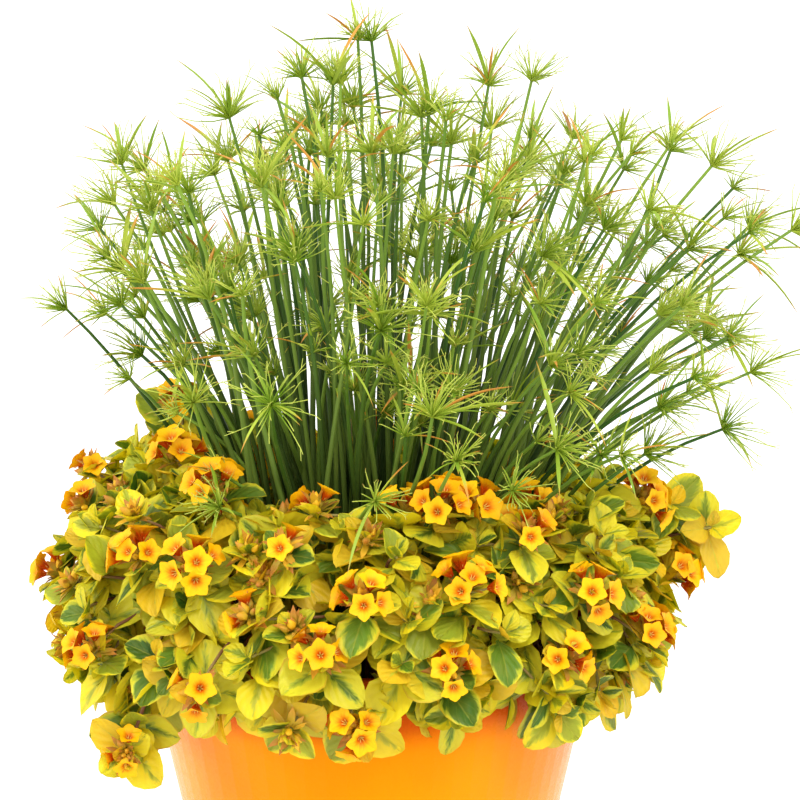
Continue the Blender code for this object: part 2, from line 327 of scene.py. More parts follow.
def thin_shape(name, rows, columns, place, thickness):
    """A closed sheet: place(u, v) gives its upper face, u from -1 to 1 across and v from 0 to 1 along."""
    upper = [
        Vector(place(2 * j / columns - 1, i / rows)) for i in range(rows + 1) for j in range(columns + 1)
    ]
    points = list(upper)
    lower = {}
    for i in range(1, rows):
        for j in range(1, columns):
            lower[i, j] = len(points)
            points.append(upper[i * (columns + 1) + j] - Vector((0, 0, thickness)))

    def top(i, j):
        return i * (columns + 1) + j

    def bottom(i, j):
        return lower.get((i, j), top(i, j))

    cells = [(i, j) for i in range(rows) for j in range(columns)]
    faces = [(top(i, j), top(i + 1, j), top(i + 1, j + 1), top(i, j + 1)) for i, j in cells]
    faces += [(bottom(i, j), bottom(i, j + 1), bottom(i + 1, j + 1), bottom(i + 1, j)) for i, j in cells]
    mesh = bpy.data.meshes.new(name)
    mesh.from_pydata(points, [], faces)
    spots = [(j / columns, i / rows) for i in range(rows + 1) for j in range(columns + 1)]
    spots += [(j / columns, i / rows) for i, j in lower]
    uv = mesh.uv_layers.new(name="UVMap")
    for loop in mesh.loops:
        uv.data[loop.index].uv = spots[loop.vertex_index]
    mesh.update()
    mesh.set_sharp_from_angle(angle=math.radians(70))
    return bpy.data.objects.new(name, mesh)


def leaf_shape(name, fold, droop, ripple, rows=7, columns=4):
    """A rounded egg-shaped leaf of unit length on a short stalk. fold lifts its edges, droop bends it."""

    def place(u, v):
        v = 0.5 - 0.5 * math.cos(math.pi * v)
        blade = max(0.0, (v - 0.08) / 0.92)
        half = 0.5 * LEAF_SHARE * math.sin(math.pi * min(1, blade**0.88)) ** 0.55
        half = max(half, 0.026 if v < 0.5 else 0.004)
        wave = ripple * u * u * math.sin(7 * v + 2 * u)
        return v, u * half, fold * abs(u) ** 1.4 * half - droop * v * v + wave

    return thin_shape(name, rows, columns, place, 0.014)


def petal_shape():
    """A petal of unit length with a rounded tip, which rises from the throat and flares out."""

    def place(u, v):
        v = 1 - (1 - v) ** 1.4
        half = 0.10 + 0.29 * math.sin(math.pi * min(1, 0.74 * v)) ** 1.1
        half *= math.sqrt(max(0.03, 1 - max(0, (v - 0.58) / 0.42) ** 2.2))
        return v, u * half, 0.60 * v * (1 - v) + 0.30 * u * u * half - 0.10 * v**3

    return thin_shape("petal", 5, 2, place, 0.02)


def blade_shape(name, width, bend, keel, rows=7):
    """A narrow strap of unit length that tapers to a point."""

    def place(u, v):
        half = 0.5 * width * min(1, 3 * (1 - v)) ** 0.8 * (0.75 + 0.25 * math.sin(math.pi * v))
        return v, u * max(half, 0.0008), keel * abs(u) * half - bend * v * v

    return thin_shape(name, rows, 2, place, 0.012)


def bud_shape(sides=6):
    """A pointed bud of unit length."""
    outline = ((0.0, 0.10), (0.18, 0.26), (0.45, 0.30), (0.75, 0.17), (1.0, 0.02))
    points = [
        (x, r * math.cos(math.tau * k / sides), r * math.sin(math.tau * k / sides))
        for x, r in outline
        for k in range(sides)
    ]
    faces = [tuple(range(sides))[::-1], tuple(range(len(points) - sides, len(points)))]
    for row in range(len(outline) - 1):
        for k in range(sides):
            a, b = row * sides + k, row * sides + (k + 1) % sides
            faces.append((a, b, b + sides, a + sides))
    mesh = bpy.data.meshes.new("bud")
    mesh.from_pydata(points, [], faces)
    uv = mesh.uv_layers.new(name="UVMap")
    for loop in mesh.loops:
        uv.data[loop.index].uv = (0.5, points[loop.vertex_index][0])
    return bpy.data.objects.new("bud", mesh)


# --- materials ------------------------------------------------------------------------------------


def linear(red, green, blue):
    """A display colour, 0 to 255, as the linear colour that shaders use."""
    shares = (red / 255, green / 255, blue / 255)
    return (*(c / 12.92 if c <= 0.04045 else ((c + 0.055) / 1.055) ** 2.4 for c in shares), 1.0)


class Paint:
    """A material being built, with short ways to add the nodes that these materials share."""

    def __init__(self, name, roughness, specular=0.5):
        self.material = bpy.data.materials.new(name)
        self.material.use_nodes = True
        self.tree = self.material.node_tree
        self.shader = self.tree.nodes["Principled BSDF"]
        self.shader.inputs["Roughness"].default_value = roughness
        self.shader.inputs["Specular IOR Level"].default_value = specular

    def add(self, kind, output=0, settings=None, **inputs):
        """Adds a node, as Tree does, and gives one of its outputs."""
        node = self.tree.nodes.new(kind)
        for key, value in (settings or {}).items():
            setattr(node, key, value)
        for key, value in inputs.items():
            self.feed(node.inputs[key.replace("_", " ")], value)
        return node.outputs[output]

    def feed(self, socket, value):
        """Sets an input to a value, or links it to the output that feeds it."""
        if isinstance(value, bpy.types.NodeSocket):
            self.tree.links.new(value, socket)
        else:
            socket.default_value = value

    def attribute(self, name):
        return self.add("ShaderNodeAttribute", "Fac", {"attribute_name": name})

    def math(self, operation, first, second=0.0, third=0.0):
        node = self.tree.nodes.new("ShaderNodeMath")
        node.operation = operation
        for socket, value in zip(node.inputs, (first, second, third)):
            self.feed(socket, value)
        return node.outputs[0]

    def spread(self, value, low, high, to_low=0.0, to_high=1.0):
        """A value from low to high as a smooth share, or as a number between two others."""
        node = self.tree.nodes.new("ShaderNodeMapRange")
        node.interpolation_type = "SMOOTHSTEP"
        names = ("Value", "From Min", "From Max", "To Min", "To Max")
        for key, item in zip(names, (value, low, high, to_low, to_high)):
            self.feed(node.inputs[key], item)
        return node.outputs["Result"]

    def noise(self, scale, detail=3.0, stretch=(1, 1, 1)):
        """Soft noise in the object's own space, drawn out along an axis whose stretch is small."""
        where = self.add("ShaderNodeTexCoord", "Object")
        placed = self.add("ShaderNodeMapping", Vector=where, Scale=stretch)
        return self.add("ShaderNodeTexNoise", "Fac", Vector=placed, Scale=scale, Detail=detail)

    def blend(self, share, first, second):
        """A colour between two others."""
        node = self.tree.nodes.new("ShaderNodeMix")
        node.data_type = "RGBA"
        self.feed(node.inputs[0], share)
        colours = [socket for socket in node.inputs if socket.type == "RGBA"]
        self.feed(colours[0], first)
        self.feed(colours[1], second)
        return next(socket for socket in node.outputs if socket.type == "RGBA")

    def finish(self, colour, bump=None, strength=0.2, distance=0.001, glow=0.0):
        """Sets the colour, an optional bump, and how much light comes through from behind."""
        self.feed(self.shader.inputs["Base Color"], colour)
        if bump is not None:
            normal = self.add("ShaderNodeBump", Height=bump, Strength=strength, Distance=distance)
            self.feed(self.shader.inputs["Normal"], normal)
        if glow:
            through = self.add("ShaderNodeBsdfTranslucent", Color=colour)
            mixed = self.add("ShaderNodeMixShader", Fac=glow)
            mixer = mixed.node
            self.tree.links.new(self.shader.outputs[0], mixer.inputs[1])
            self.tree.links.new(through, mixer.inputs[2])
            self.tree.links.new(mixed, self.tree.nodes["Material Output"].inputs["Surface"])
        return self.material


def glaze():
    """Smooth orange finish, deeper in broad soft patches, with faint mottling, and painted shade:
    red-orange in a band under the rim, where the foliage's shade falls.
    """
    paint = Paint("orange_gloss", 0.22, specular=0.4)
    broad = paint.noise(7, detail=1)
    fine = paint.noise(260, detail=2)
    base = paint.blend(paint.spread(broad, 0.3, 0.7), linear(236, 132, 2), linear(240, 146, 3))
    colour = paint.blend(paint.spread(fine, 0.35, 0.75, 0, 0.10), base, linear(224, 112, 2))
    height = paint.add("ShaderNodeSeparateXYZ", 2, Vector=paint.add("ShaderNodeTexCoord", "Object"))
    height = paint.math("MULTIPLY_ADD", broad, 0.05, height)
    # Painted shade: the band just below the rim turns red-orange, standing in for the shade that the
    # foliage casts there.
    rim_shade_share = paint.spread(height, RIM_Z - 0.030, RIM_Z - 0.004, 0, 0.85)
    colour = paint.blend(rim_shade_share, colour, linear(206, 66, 6))
    paint.feed(paint.shader.inputs["Roughness"], paint.spread(fine, 0.3, 0.7, 0.24, 0.32))
    paint.shader.inputs["Specular Tint"].default_value = linear(255, 150, 40)
    return paint.finish(colour, broad, 0.05, 0.004)


def earth():
    """Dark potting mix with paler bits of bark."""
    paint = Paint("potting_mix_crumbs", 0.95)
    grain = paint.noise(420, detail=4)
    lumps = paint.noise(90, detail=3)
    base = paint.blend(lumps, linear(34, 24, 17), linear(74, 53, 36))
    colour = paint.blend(paint.spread(grain, 0.6, 0.75), base, linear(120, 90, 60))
    return paint.finish(colour, grain, 0.9, 0.002)


def culm_skin():
    """Smooth dark green rods, with painted shade making them darkest low down in the crowded clump, paler
    towards their umbels.
    """
    paint = Paint("papyrus_culm_skin", 0.42, specular=0.2)
    along = paint.attribute("along")
    tone = paint.attribute("tone")
    # Painted shade: the low colours are darker than the culms' own green, for the shade deep in the crowded
    # clump.
    low = paint.blend(tone, linear(24, 44, 12), linear(98, 120, 46))
    high = paint.blend(tone, linear(46, 86, 22), linear(122, 152, 50))
    painted_shade_fade = paint.spread(along, 0.30, 1.0)
    streaks = paint.noise(160, stretch=(1, 1, 0.06))
    colour = paint.blend(painted_shade_fade, low, high)
    colour = paint.blend(paint.spread(streaks, 0.5, 0.8, 0, 0.22), colour, linear(140, 150, 62))
    return paint.finish(colour, streaks, 0.15, 0.001)


def ray_skin():
    """Light green threads with pale, then brown, ends."""
    paint = Paint("papyrus_ray_skin", 0.5, specular=0.2)
    along = paint.attribute("along")
    tone = paint.attribute("tone")
    young = paint.blend(tone, linear(116, 154, 28), linear(186, 204, 68))
    pale = paint.blend(paint.spread(along, 0.3, 0.9), young, linear(200, 210, 92))
    brown = paint.blend(paint.noise(40), linear(196, 160, 84), linear(150, 104, 50))
    share = paint.math("MULTIPLY", paint.spread(along, 0.90, 1.0), paint.spread(tone, 0.25, 0.8))
    return paint.finish(paint.blend(share, pale, brown), glow=0.15)


def bract_skin():
    """Yellow-green straps whose tips dry to orange and brown."""
    paint = Paint("papyrus_bract_skin", 0.5)
    spots = paint.add("ShaderNodeSeparateXYZ", 1, Vector=paint.add("ShaderNodeTexCoord", "UV"))
    tone = paint.attribute("tone")
    fresh = paint.blend(tone, linear(126, 164, 32), linear(190, 200, 62))
    dry = paint.blend(paint.noise(120), linear(226, 168, 54), linear(190, 118, 48))
    start = paint.math("SUBTRACT", 1.02, paint.math("MULTIPLY", paint.math("POWER", tone, 6), 0.8))
    share = paint.spread(spots, paint.math("SUBTRACT", start, 0.25), start)
    return paint.finish(paint.blend(share, fresh, dry), glow=0.2)


def leaf_skin():
    """Variegated leaves: a feathered green middle in a lime or gold edge, some all gold or green."""
    paint = Paint("loosestrife_leaf_skin", 0.44, specular=0.4)
    uv = paint.add("ShaderNodeTexCoord", "UV")
    across = paint.add("ShaderNodeSeparateXYZ", 0, Vector=uv)
    along = paint.add("ShaderNodeSeparateXYZ", 1, Vector=uv)
    tone = paint.attribute("tone")
    other = paint.math("FRACT", paint.math("MULTIPLY", tone, 7.3))
    third = paint.math("FRACT", paint.math("MULTIPLY", tone, 23.7))
    off_rib = paint.math("ABSOLUTE", paint.math("MULTIPLY_ADD", across, 2, -1))

    vein_line = paint.math("MULTIPLY_ADD", off_rib, -0.45, along)
    side = paint.math("GREATER_THAN", across, 0.5)
    seat = paint.math("ADD", paint.math("MULTIPLY", tone, 60), paint.math("MULTIPLY", side, 5))
    vein_place = paint.add("ShaderNodeCombineXYZ", X=vein_line, Y=seat)
    feather = paint.add("ShaderNodeTexNoise", "Fac", Vector=vein_place, Scale=7.0, Detail=3.0)
    blotch_place = paint.add("ShaderNodeCombineXYZ", X=across, Y=along, Z=seat)
    blotch = paint.add("ShaderNodeTexNoise", "Fac", Vector=blotch_place, Scale=3.2, Detail=4.0)

    width = paint.spread(tone, 0.05, 0.68, 1.0, 0.20)
    width = paint.math("MULTIPLY", width, paint.spread(tone, 0.75, 0.81, 1.0, 0.0))
    reach = paint.math("MULTIPLY_ADD", paint.math("SUBTRACT", feather, 0.5), 0.9, width)
    reach = paint.math("MULTIPLY_ADD", paint.math("SUBTRACT", blotch, 0.5), 0.5, reach)
    reach = paint.math("SUBTRACT", reach, paint.math("MULTIPLY", paint.math("POWER", along, 4), 0.35))
    inside = paint.math("SUBTRACT", reach, off_rib)
    green_share = paint.spread(inside, -0.04, 0.06)
    deep_share = paint.spread(inside, 0.08, 0.26)

    lime = paint.blend(other, linear(250, 236, 40), linear(226, 222, 54))
    gold = paint.blend(third, linear(252, 220, 38), linear(234, 206, 54))
    edge = paint.blend(paint.spread(tone, 0.72, 0.84), lime, gold)
    middle = paint.blend(other, linear(220, 220, 58), linear(194, 204, 56))
    deep = paint.blend(third, linear(126, 162, 42), linear(66, 114, 34))
    deepest = paint.math("MULTIPLY", deep_share, paint.spread(other, 0.05, 0.8, 0.3, 1.0))
    green = paint.blend(deepest, middle, deep)
    colour = paint.blend(green_share, edge, green)
    dull = paint.spread(blotch, 0.35, 0.8, 0.0, 0.22)
    colour = paint.blend(dull, colour, linear(190, 170, 50))

    veins = paint.math("SINE", paint.math("MULTIPLY", vein_line, 34))
    vein_share = paint.spread(veins, 0.88, 1.0, 0, 0.08)
    rib_share = paint.spread(off_rib, 0.0, 0.07, 0.3, 0.0)
    colour = paint.blend(paint.math("MAXIMUM", vein_share, rib_share), colour, linear(214, 206, 70))
    rim = paint.math("MULTIPLY", paint.spread(off_rib, 0.84, 1.0), paint.spread(other, 0.7, 0.9, 0, 0.4))
    colour = paint.blend(rim, colour, linear(206, 134, 40))
    relief = paint.math("MULTIPLY_ADD", blotch, 1.2, paint.math("MULTIPLY", veins, -0.12))
    relief = paint.math("ADD", relief, paint.spread(off_rib, 0.0, 0.22, -0.4, 0.0))
    return paint.finish(colour, relief, 0.7, 0.0020, glow=0.48)


def petal_skin():
    """Golden petals with a red-orange throat and faint streaks."""
    paint = Paint("loosestrife_petal_skin", 0.5, specular=0.2)
    uv = paint.add("ShaderNodeTexCoord", "UV")
    across = paint.add("ShaderNodeSeparateXYZ", 0, Vector=uv)
    along = paint.add("ShaderNodeSeparateXYZ", 1, Vector=uv)
    tone = paint.attribute("tone")
    streak_place = paint.add("ShaderNodeCombineXYZ", X=paint.math("MULTIPLY", across, 9), Y=tone)
    streak = paint.add("ShaderNodeTexNoise", "Fac", Vector=streak_place, Scale=2.0)
    gold = paint.blend(tone, linear(248, 186, 2), linear(254, 210, 8))
    gold = paint.blend(paint.spread(streak, 0.4, 0.8, 0, 0.35), gold, linear(236, 152, 2))
    edge = paint.math("MULTIPLY_ADD", streak, 0.22, 0.08)
    share = paint.spread(along, edge, paint.math("ADD", edge, 0.42), 1.0, 0.0)
    return paint.finish(paint.blend(share, gold, linear(222, 92, 4)), glow=0.25)


def stamen_skin():
    """Pale yellow stamens with fine grain."""
    paint = Paint("loosestrife_stamen_skin", 0.6)
    grain = paint.noise(900)
    return paint.finish(paint.blend(grain, linear(250, 226, 120), linear(226, 186, 60)))


def bud_skin():
    """Pointed sepals and buds, olive at the base and brown at the tips; the freshest are yellow."""
    paint = Paint("loosestrife_bud_skin", 0.6)
    along = paint.add("ShaderNodeSeparateXYZ", 1, Vector=paint.add("ShaderNodeTexCoord", "UV"))
    tone = paint.attribute("tone")
    grain = paint.noise(240)
    green = paint.blend(grain, linear(166, 152, 40), linear(206, 176, 44))
    brown = paint.blend(grain, linear(214, 140, 40), linear(168, 98, 30))
    aged = paint.blend(paint.spread(along, 0.25, 0.95), green, brown)
    return paint.finish(paint.blend(paint.spread(tone, 0.5, 0.8), aged, linear(240, 188, 24)), glow=0.15)


def stem_skin():
    """Downy red-brown loosestrife stems, greener towards their tips."""
    paint = Paint("loosestrife_stem_skin", 0.7)
    along = paint.attribute("along")
    grain = paint.noise(300)
    old = paint.blend(grain, linear(104, 62, 36), linear(136, 84, 46))
    return paint.finish(paint.blend(paint.spread(along, 0.7, 1.0), old, linear(146, 136, 62)), grain, 0.3)


# --- papyrus --------------------------------------------------------------------------------------


def outer_hubs():
    """Hubs of the culms that can be told apart, from the list above."""
    return [Vector((x / 1000, y / 1000, RIM_Z + z / 1000)) for x, y, z in UMBEL_HUBS]


def inner_hubs():
    """Hubs of the crowded culms, spread evenly under the dome of the outer ones."""
    hubs = []
    for i in range(INNER_CULMS):
        share = math.sqrt((i + 0.5) / INNER_CULMS)
        bearing = i * math.pi * GOLDEN_SHARE + rng.normal(0, 0.1)
        reach = INNER_REACH * share * (1 + 0.20 * max(0, math.cos(bearing)))
        front = max(0.0, -math.sin(bearing))
        lowest = 0.50 - 0.12 * share - 0.16 * front
        highest = 0.96 - 0.23 * share
        level = TALLEST * rng.uniform(lowest, highest)
        middle = Vector((INNER_RIGHT, 0, RIM_Z + level))
        hubs.append(middle + reach * Vector((math.cos(bearing), 0.9 * math.sin(bearing), 0)))
    return hubs


def culm_line(hub):
    """Points from the soil to a hub: low culms rise first and lean over late."""
    reach = math.hypot(hub.x, hub.y)
    outward = Vector((hub.x, hub.y, 0)) / max(reach, 1e-6)
    foot = outward * CROWN_RADIUS * min(1, reach / 0.16) ** 0.8
    foot += Vector((*rng.normal(0, FOOT_SCATTER, 2), 0))
    foot.z = SOIL_Z - 0.002
    lean = hub - foot
    early_rise = 0.84 - 0.26 * lean.z / TALLEST
    control = foot + Vector((lean.x * 0.34, lean.y * 0.34, lean.z * early_rise))
    control += Vector((*rng.normal(0, BEND_SCATTER, 2), 0))
    wobble = Vector((*rng.normal(0, WOBBLE, 2), 0))
    line = []
    for t in np.linspace(0, 1, CULM_STATIONS):
        point = foot * (1 - t) ** 2 + control * 2 * t * (1 - t) + hub * t**2
        line.append(point + wobble * math.sin(math.tau * t))
    return line


def umbel_rays(hub, axis, size, tone):
    """Thread rays in a rounded mop, most of them forked at the end."""
    lines = []
    count = int(RAYS * rng.uniform(0.75, 1.15) * min(1.25, size))
    widest = 1 - math.cos(math.radians(rng.uniform(40, 82)))
    for i in range(count):
        polar = math.acos(1 - widest * (i + rng.uniform(0, 1)) / count)
        azimuth = i * math.pi * GOLDEN_SHARE + rng.normal(0, 0.2)
        along = direction(azimuth, polar, axis)
        length = RAY_LENGTH * size * rng.uniform(0.50, 1.15)
        sag = Vector((0, 0, -length * rng.uniform(0.0, 0.16)))
        side = along.orthogonal().normalized() * length * rng.normal(0, 0.05)
        line = []
        for t in (0, 0.35, 0.7, 1):
            line.append(hub + along * length * t + sag * t**2 + side * math.sin(math.pi * t))
        shade = min(1, max(0, tone + rng.normal(0, 0.12)))
        lines.append((line, [RAY_RADIUS * share for share in (1, 0.9, 0.75, 0.6)], shade, (0, 0.86)))
        heading = (line[-1] - line[-2]).normalized()
        for _ in range(rng.integers(0, 3)):
            splay = direction(rng.uniform(0, math.tau), math.radians(rng.uniform(12, 38)), heading)
            tip = line[-1] + splay * length * rng.uniform(0.10, 0.22)
            lines.append(((line[-1], tip), (0.55 * RAY_RADIUS, 0.4 * RAY_RADIUS), shade, (0.86, 1)))
    return lines


def bract_length(hub, along, length):
    """A bract's length, shortened where it would reach too far past the solid planting."""
    low, high = cad_bounds
    for k in range(3):
        room = high[k] - hub[k] if along[k] > 0 else hub[k] - low[k]
        length = min(length, (room + BRACT_ROOM) / max(abs(along[k]), 1e-6))
    return length


def umbel_bracts(hub, axis, size):
    """Three to six long straps from the hub, most of them rising, one of them often upright."""
    places = []
    for i in range(rng.integers(3, 7)):
        upright = i == 0 and rng.random() < 0.45
        polar = math.radians(rng.uniform(3, 16) if upright else rng.uniform(16, 80))
        along = direction(rng.uniform(0, math.tau), polar, axis)
        length = bract_length(hub, along, BRACT_LENGTH * rng.uniform(0.40, 1.10) * min(1.0, size))
        places.append((hub, facing(along, Vector((0, 0, 1))), (length,) * 3, rng.uniform(0, 1)))
    return places


def outer_size(hub):
    """The size of an outer umbel: towards the front they are larger."""
    return rng.uniform(0.85, 1.1) + 2 * max(0, -0.07 - hub.y)


def make_papyrus():
    """All the culms as one piece, their bracts as another, and their rays in three."""
    culms, rays, bracts = [], ([], [], []), []
    hubs = [(hub, outer_size(hub)) for hub in outer_hubs()]
    hubs += [(hub, rng.uniform(0.55, 1.05)) for hub in inner_hubs()]
    hubs.sort(key=lambda pair: pair[0].x)
    for i, (hub, size) in enumerate(hubs):
        line = culm_line(hub)
        axis = (line[-1] - line[-2]).normalized()
        tone = rng.uniform(0, 1)
        thick = rng.uniform(0.85, 1.1)
        radii = [thick * (CULM_FOOT + (CULM_TOP - CULM_FOOT) * t) for t in np.linspace(0, 1, CULM_STATIONS)]
        culms.append((line, radii, tone, (0, 1)))
        rays[3 * i // len(hubs)].extend(umbel_rays(hub, axis, size, tone))
        bracts.extend(umbel_bracts(hub, axis, size))
    skin = ray_skin()
    pieces = [rods("papyrus_culms", culms, CULM_SIDES, culm_skin())]
    pieces += [rods(f"papyrus_rays_{i}", lines, 3, skin) for i, lines in enumerate(rays, 1)]
    straps = [
        scattered("straps_a", bracts[0::2], blade_shape("strap_a", 0.062, 0.16, 0.5), bract_skin()),
        scattered("straps_b", bracts[1::2], blade_shape("strap_b", 0.055, 0.34, 0.4), bract_skin()),
    ]
    pieces.append(joined("papyrus_bracts", straps))
    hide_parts(*CULMS, *TUFTS)
    return pieces


# --- loosestrife ----------------------------------------------------------------------------------

# Flower heads on the side seen from the front: how far right and above the rim, in millimetres,
# and how many flowers are open.
FLOWER_HEADS = (
    (-180, 106, 2), (-186, 82, 2), (-131, 106, 8), (-107, 87, 7), (-150, 46, 6), (-107, 43, 7),
    (-218, 46, 5), (-61, 46, 2), (-36, 79, 2), (21, 82, 5), (48, 90, 10), (70, 73, 6), (105, 63, 4),
    (108, 92, 4), (173, 84, 10), (195, 38, 12), (146, 24, 6), (124, -16, 5), (176, -3, 8),
    (59, 22, 8), (-1, 22, 6), (-80, 8, 2), (48, -30, 5), (-31, -19, 5), (-110, -30, 3),
    (-183, -14, 6), (-14, -65, 5), (84, -3, 0), (16, 42, 0), (150, -36, 0), (-46, -80, 0),
    (-160, 72, 0), (-196, 60, 0), (-77, -19, 0), (16, -24, 0),
)

# Heads of the long shoots and a point in the plant that each grows from, in millimetres.
LONG_SHOOTS = (
    ((-156, -132, -54), (-140, -118, -10)),
    ((234, 8, 68), (160, 20, 50)),
    ((206, 4, 84), (160, 20, 50)),
    ((-134, 54, 146), (-120, 50, 60)),
)
FLOWERING_SHOOTS = (0, 3)

LEAF_PAIRS = (  # from the tip down: polar angle, share of a full leaf, distance below the tip
    (30, 0.45, 0.000),
    (52, 0.72, 0.004),
    (74, 0.95, 0.009),
    (94, 1.00, 0.017),
)


def mound_point(azimuth, around):
    """A point on the mound and the way out of it. around is 0 on top and grows outwards, in radians."""
    lump = LUMP_HEIGHT * noise.noise(Vector((3 * math.cos(azimuth), 3 * math.sin(azimuth), 1.4 * around)))
    left = max(0.0, math.cos(azimuth - math.radians(165)))
    front = max(0.0, -math.sin(azimuth))
    right = max(0.0, math.cos(azimuth + math.radians(30)))
    middle = 0.68 * MOUND_RADIUS
    half_width = 0.22 * MOUND_RADIUS + 0.012 * left - 0.016 * right * max(0.0, -math.cos(around)) + lump
    half_height = MOUND_LEVEL + 1.1 * MOUND_HANG * (1 - 0.42 * front)
    if math.cos(around) > 0:
        half_height = MOUND_TOP - MOUND_LEVEL - LEAF_ROOM + 0.020 * left - 0.010 * front + lump
    out, up = math.sin(around), math.cos(around)
    radius = middle + half_width * out
    height = RIM_Z + MOUND_LEVEL + half_height * up
    point = Vector((radius * math.cos(azimuth), radius * math.sin(azimuth), height))
    slope = Vector((out / half_width, 0, up / half_height)).normalized()
    return point, Vector((slope.x * math.cos(azimuth), slope.x * math.sin(azimuth), slope.z))


def mound_samples(count):
    """Evenly spread (point, way out) pairs over the mound."""
    arounds = np.radians(np.linspace(-48, 132, 91))
    share = np.cumsum([mound_point(0, a)[0].x for a in arounds])
    share = (share - share[0]) / (share[-1] - share[0])
    samples = []
    for i in range(count):
        azimuth = math.tau * ((SPREAD_STEPS[0] * i) % 1)
        around = np.interp((SPREAD_STEPS[1] * i + 0.5) % 1, share, arounds)
        samples.append(mound_point(azimuth, around))
    return samples


def seen_at(point):
    """Where a point shows from the front, as (right, above the rim) on the plane through the axis."""
    tilt = math.radians(CAMERA_ELEVATION)
    place = point - Vector((VIEW_RIGHT, 0, RIM_Z + VIEW_ABOVE_RIM))
    away = CAMERA_DISTANCE + place.y * math.cos(tilt) - place.z * math.sin(tilt)
    near = CAMERA_DISTANCE / away
    level = place.z * math.cos(tilt) + place.y * math.sin(tilt)
    return Vector((VIEW_RIGHT + near * place.x, VIEW_ABOVE_RIM + near * level))


def shoot_tips():
    """(point, axis, flowers) of every shoot: the listed heads, and others spread between."""
    samples = mound_samples(2400)
    front = [(point, out) for point, out in samples if out.y < 0.15 and point.y < 0.04]
    tips = []
    for right, above, flowers in FLOWER_HEADS:
        wanted = Vector((right / 1000, above / 1000))
        point, out = min(front, key=lambda pair: (seen_at(pair[0]) - wanted).length)
        tips.append((point + 0.008 * out, out, flowers))
    for point, out in mound_samples(SHOOT_COUNT):
        if all((point - other[0]).length > HEAD_SPACING for other in tips[: len(FLOWER_HEADS)]):
            hidden = point.y < 0.04 and out.y < 0.2
            flowers = 0 if hidden or rng.random() < 0.6 else int(rng.integers(3, 7))
            tips.append((point + out * rng.uniform(-0.012, 0.006), out, flowers))
    return tips


def shoot_axis(out):
    """Shoots point out of the mound and upwards."""
    lift = 0.55 if out.z > -0.2 else 0.15
    return (0.8 * out + Vector((0, 0, lift)) + Vector(rng.normal(0, 0.16, 3))).normalized()


def leaf_tone(inner=False):
    """Below 0.2 a leaf is nearly all green, above 0.8 all gold, and variegated between."""
    return rng.uniform(0.1, 0.75) if inner else rng.beta(1.4, 1.4)


def rosette(tip, axis, leaves, skip=0):
    """Crossed pairs of leaves below a shoot's tip."""
    roll = rng.uniform(0, math.tau)
    for k, (polar, share, below) in enumerate(LEAF_PAIRS[skip:]):
        for side in range(2):
            azimuth = roll + k * math.pi / 2 + side * math.pi + rng.normal(0, 0.12)
            tilt = math.radians(polar + rng.normal(0, 9))
            along = direction(azimuth, tilt, axis)
            along = (along + Vector((0, 0, -0.10 * share))).normalized()
            length = LEAF_LENGTH * share * rng.uniform(0.82, 1.08)
            broad = length * rng.uniform(0.9, 1.12)
            spot = tip - axis * below
            turn = facing(along, axis) @ jitter(7)
            leaves.append((spot, turn, (length, broad, length), leaf_tone()))


def flower_head(tip, axis, count, flowers, sepals, buds):
    """Flowers round a shoot's tip, with buds between them and pointed sepals round and below.

    With no flowers, it is a shoot still in bud, or past flowering: a star of sepals and a few buds.
    """
    roll = rng.uniform(0, math.tau)
    for i in range(count):
        polar = math.radians(72 * math.sqrt((i + 0.45) / count) + rng.normal(0, 4))
        along = direction(roll + HEAD_TURN * i + rng.normal(0, 0.12), polar, axis)
        size = PETAL_LENGTH * rng.uniform(0.88, 1.12)
        centre = tip + along * (0.0055 + 0.0008 * count) * rng.uniform(0.85, 1.25)
        turn = facing(along, axis) @ Matrix.Rotation(rng.uniform(0, 6), 3, "X")
        flowers.append((centre, turn, (size,) * 3, rng.uniform(0, 1)))
    for i in range(SEPAL_COUNT):
        along = direction(roll + HEAD_TURN * i, math.radians(rng.uniform(8, 104)), axis)
        length = rng.uniform(0.009, 0.0165)
        sepals.append((tip + along * 0.002, facing(along, axis), (length,) * 3, rng.uniform(0, 0.75)))
    for i in range(int(rng.integers(5, 10))):
        along = direction(roll + HEAD_TURN * i, math.radians(rng.uniform(0, 62)), axis)
        length = rng.uniform(0.006, 0.011)
        buds.append((tip + along * 0.004, facing(along, axis), (length,) * 3, rng.uniform(0.2, 1)))


def flower_shape():
    """Five petals in a cup round a short throat. Its own axis is X."""
    petal = petal_shape()
    axis = Vector((1, 0, 0))
    petals = []
    for i in range(5):
        copy = bpy.data.objects.new("petal", petal.data.copy())
        along = direction(math.tau * i / 5, math.radians(41), axis)
        copy.data.transform(facing(along, axis).to_4x4())
        petals.append(copy)
    return shape_of("flower", petals)


def stamens_shape():
    """A tuft of short stamens along X, from a few thin buds."""
    axis = Vector((1, 0, 0))
    parts = []
    for i in range(5):
        stalk = bud_shape(sides=3)
        along = direction(math.tau * i / 5, math.radians(17), axis)
        stalk.data.transform(facing(along, axis).to_4x4() @ Matrix.Diagonal((0.50, 0.16, 0.16, 1)))
        parts.append(stalk)
    return shape_of("stamens", parts)


def stem_line(tip, axis):
    """A shoot's stem from the soil, over the rim where it has to, and out to its tip."""
    azimuth = math.atan2(tip.y, tip.x) + rng.normal(0, 0.12)
    reach = math.hypot(tip.x, tip.y)
    outward = Vector((math.cos(azimuth), math.sin(azimuth), 0))
    foot = outward * rng.uniform(0.72, 0.90) * SOIL_RADIUS + Vector((0, 0, SOIL_Z))
    rise = outward * 0.86 * RIM_RADIUS + Vector((0, 0, max(tip.z - 0.02, RIM_Z + 0.055)))
    over = outward * max(reach * 0.97, 0.9 * RIM_RADIUS) + Vector((0, 0, max(tip.z, RIM_Z + 0.035)))
    end = tip - axis * 0.001
    points = []
    for t in np.linspace(0, 1, STEM_STATIONS):
        s = 1 - t
        points.append(foot * s**3 + rise * 3 * s * s * t + over * 3 * s * t * t + end * t**3)
    return points


